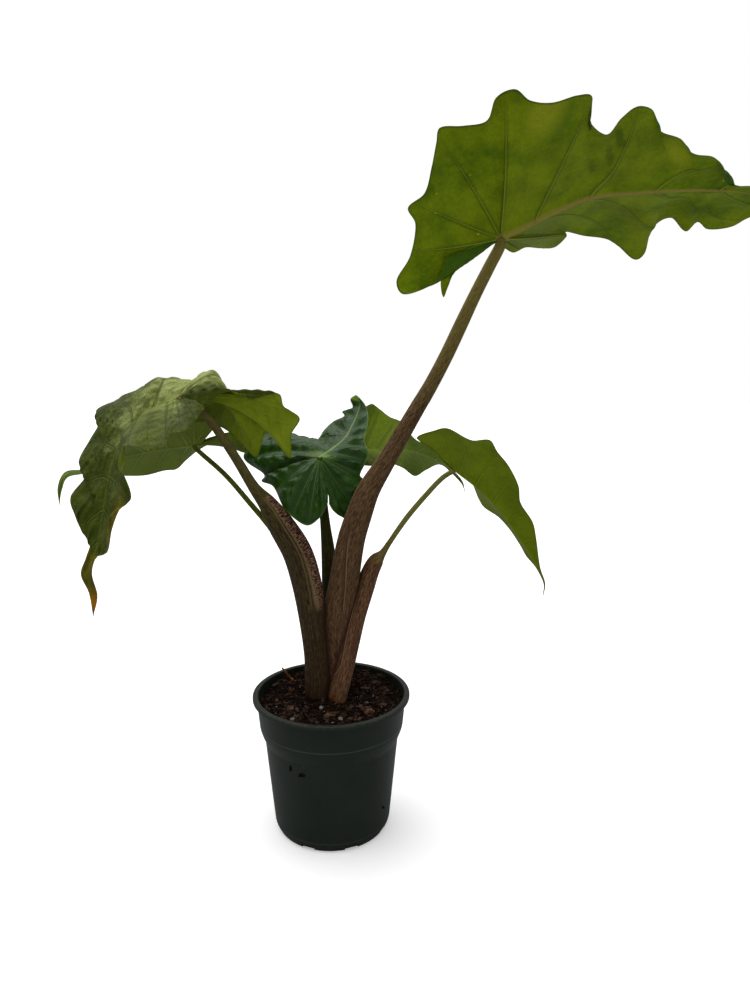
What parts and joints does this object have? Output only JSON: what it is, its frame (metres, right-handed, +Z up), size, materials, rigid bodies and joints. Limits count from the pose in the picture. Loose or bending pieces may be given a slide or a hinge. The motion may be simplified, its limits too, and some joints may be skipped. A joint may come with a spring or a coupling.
{
  "type": "potted alocasia",
  "caption": "Living alocasia with arrow-shaped leaves on long arching petioles, rooted in bark mix in a thin dark green nursery pot that stands on its foot.",
  "frame": {"origin": "centre of the pot's foot, on the surface it stands on", "axes": "+Z up along the pot's axis; +X towards the side that the tallest leaf leans to; -Y is the front"},
  "size_m": [0.7465, 0.2612, 0.6784],
  "materials": {
    "pot_plastic": "satin dark green plastic with light scuffs",
    "soil": "rough, moist bark and peat mix",
    "petiole": "waxy, brown and green mottled, fading to green at the top",
    "blade_mature": "satin leaf, wavy between the veins, lighter underneath",
    "blade_young": "glossy dark green, quilted between the veins",
    "blade_thin": "satin yellow-green leaf",
    "dry_tissue": "dry, papery, pale brown",
    "bark": "rough brown bark",
    "perlite": "matt white grains"
  },
  "bodies": {
    "root": {"petiole_tall": "petiole", "petiole_left": "petiole", "petiole_right": "petiole", "petiole_centre": "petiole", "petiole_left_rear": "petiole", "petiole_rear": "petiole", "blade_tall": "blade_mature", "blade_left": "blade_mature", "blade_right": "blade_thin", "blade_centre": "blade_young", "blade_left_rear": "blade_thin", "blade_rear": "blade_thin", "bark_chip_front": "bark", "bark_chip_right": "bark", "bark_chip_left": "bark", "perlite_front_left": "perlite", "perlite_front": "perlite", "perlite_right": "perlite", "perlite_left": "perlite", "perlite_rear": "perlite", "dry_root_long": "dry_tissue", "dry_root_short": "dry_tissue", "basal_scale": "dry_tissue", "soil": "soil", "pot": "pot_plastic"}
  },
  "joints": []
}
